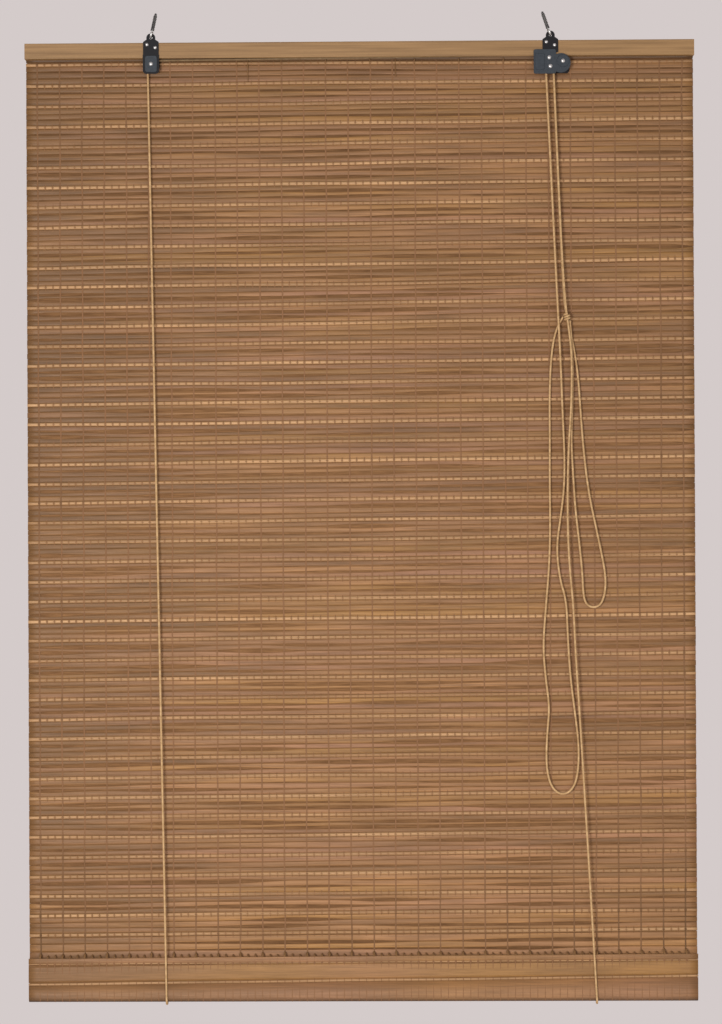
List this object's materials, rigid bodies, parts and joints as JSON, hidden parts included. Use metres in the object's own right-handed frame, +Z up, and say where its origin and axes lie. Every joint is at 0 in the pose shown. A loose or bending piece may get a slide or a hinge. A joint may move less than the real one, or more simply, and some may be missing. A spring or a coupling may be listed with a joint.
{
  "type": "bamboo roll up blind",
  "caption": "Bamboo roll up blind hung by two screw hooks, with a woven slat mat, a wooden head, a pulley bracket, a cord lock and hanked pull cords.",
  "frame": {"origin": "centre of the head rail's back face, which lies against the wall or window frame", "axes": "+X to the viewer's right along the head, +Y into the wall, +Z up"},
  "size_m": [0.9, 0.0316, 1.3341],
  "materials": {
    "bamboo": "satin",
    "pale_wood": "satin",
    "twisted_cord": "matte",
    "black_steel": "satin",
    "zinc_steel": "satin",
    "nylon": "satin"
  },
  "bodies": {
    "blind": {"bamboo_mat": "bamboo", "head_rail": "pale_wood", "head_batten": "pale_wood", "bottom_bar": "pale_wood", "left_lift_cord": "twisted_cord", "right_lift_cord": "twisted_cord", "left_cord_knot": "twisted_cord", "right_cord_knot": "twisted_cord", "right_pull_cord": "twisted_cord", "left_pull_cord": "twisted_cord", "cord_hitch": "twisted_cord", "left_pulley_bracket": "black_steel", "lock_front_plate": "black_steel", "lock_back_plate": "black_steel", "left_pulley_rivet": "zinc_steel", "lock_axle_rivet": "zinc_steel", "lock_cam_rivet": "zinc_steel", "lock_guide_pin": "zinc_steel", "left_bracket_screws": "zinc_steel", "lock_screws": "zinc_steel", "rail_brads": "zinc_steel"},
    "left_hook": {"left_screw_hook": "zinc_steel"},
    "right_hook": {"right_screw_hook": "zinc_steel"},
    "left_pulley": {"left_pulley": "nylon"},
    "front_sheave": {"lock_front_sheave": "nylon"},
    "rear_sheave": {"lock_rear_sheave": "nylon"},
    "cam": {"lock_cam": "zinc_steel"}
  },
  "joints": [
    {"name": "left_hook_swing", "type": "hinge", "parent": "blind", "child": "left_hook", "pos_m": [-0.2795, -0.025, 0.0168], "axis": [0, 1, 0], "range_deg": [-107, 83]},
    {"name": "right_hook_swing", "type": "hinge", "parent": "blind", "child": "right_hook", "pos_m": [0.2572, -0.025, 0.0168], "axis": [0, 1, 0], "range_deg": [-76, 114]},
    {"name": "front_sheave_spin", "type": "hinge", "parent": "blind", "child": "front_sheave", "pos_m": [0.2557, -0.0231, -0.0132], "axis": [0, 1, 0], "continuous": true},
    {"name": "rear_sheave_spin", "type": "hinge", "parent": "blind", "child": "rear_sheave", "pos_m": [0.2557, -0.0183, -0.0132], "axis": [0, 1, 0], "continuous": true},
    {"name": "left_pulley_spin", "type": "hinge", "parent": "blind", "child": "left_pulley", "pos_m": [-0.2795, -0.0201, -0.0182], "axis": [0, 1, 0], "continuous": true},
    {"name": "lock_cam_swing", "type": "hinge", "parent": "blind", "child": "cam", "pos_m": [0.274, -0.0207, -0.0179], "axis": [0, 1, 0], "range_deg": [-20, 40]}
  ],
  "couplings": [
    {"joint": "rear_sheave_spin", "follows": "front_sheave_spin", "ratio": -1},
    {"joint": "left_pulley_spin", "follows": "front_sheave_spin", "ratio": -1}
  ]
}
